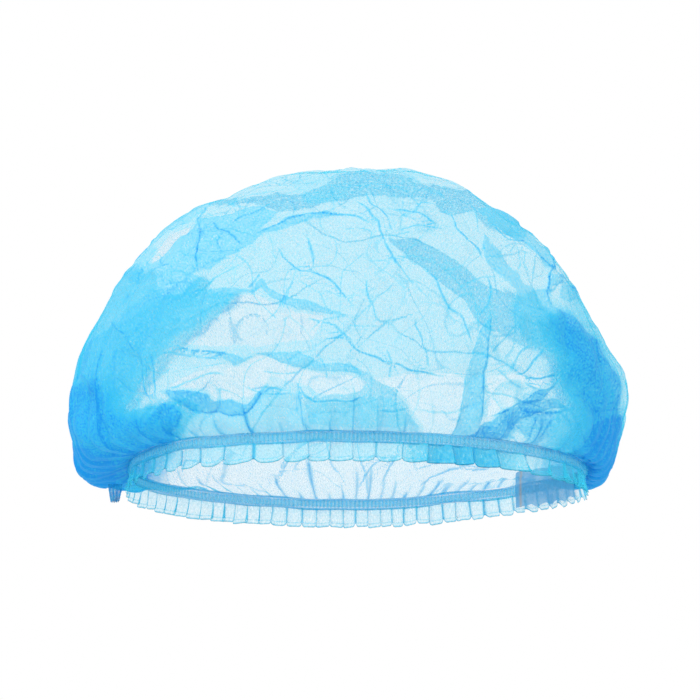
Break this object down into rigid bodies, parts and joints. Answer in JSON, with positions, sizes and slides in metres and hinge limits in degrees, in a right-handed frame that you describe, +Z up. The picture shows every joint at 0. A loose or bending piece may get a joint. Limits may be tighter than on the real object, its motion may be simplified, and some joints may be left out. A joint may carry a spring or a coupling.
{
  "type": "disposable bouffant hair cap",
  "caption": "Thin non-woven bouffant hair cap, puffed open as worn, with an elastic in a gathered hem and a short pleated frill.",
  "frame": {"origin": "centre of the elastic ring, in the ring's own level, where the cap sits on the head", "axes": "+Z up towards the crown, -Y towards the wearer's face, +X to the right of someone who faces the wearer, along the cap's widest way"},
  "size_m": [0.2787, 0.2335, 0.1676],
  "materials": {
    "crown_cloth": "sheer light-blue spunbond non-woven, matt with a faint fibre pattern",
    "hem_cloth": "gathered light-blue non-woven with cross ribs, matt",
    "elastic": "flat woven elastic, pale, matt",
    "frill_cloth": "pleated light-blue non-woven, matt",
    "fused_cloth": "smooth greyish blue overlapped non-woven, slightly glossy where it is fused",
    "tab_cloth": "dense blue fused non-woven with a torn edge"
  },
  "bodies": {
    "root": {"crown": "crown_cloth", "hem_channel": "hem_cloth", "elastic_band": "elastic", "frill": "frill_cloth", "hem_overlap": "fused_cloth", "end_tab": "tab_cloth"}
  },
  "joints": []
}
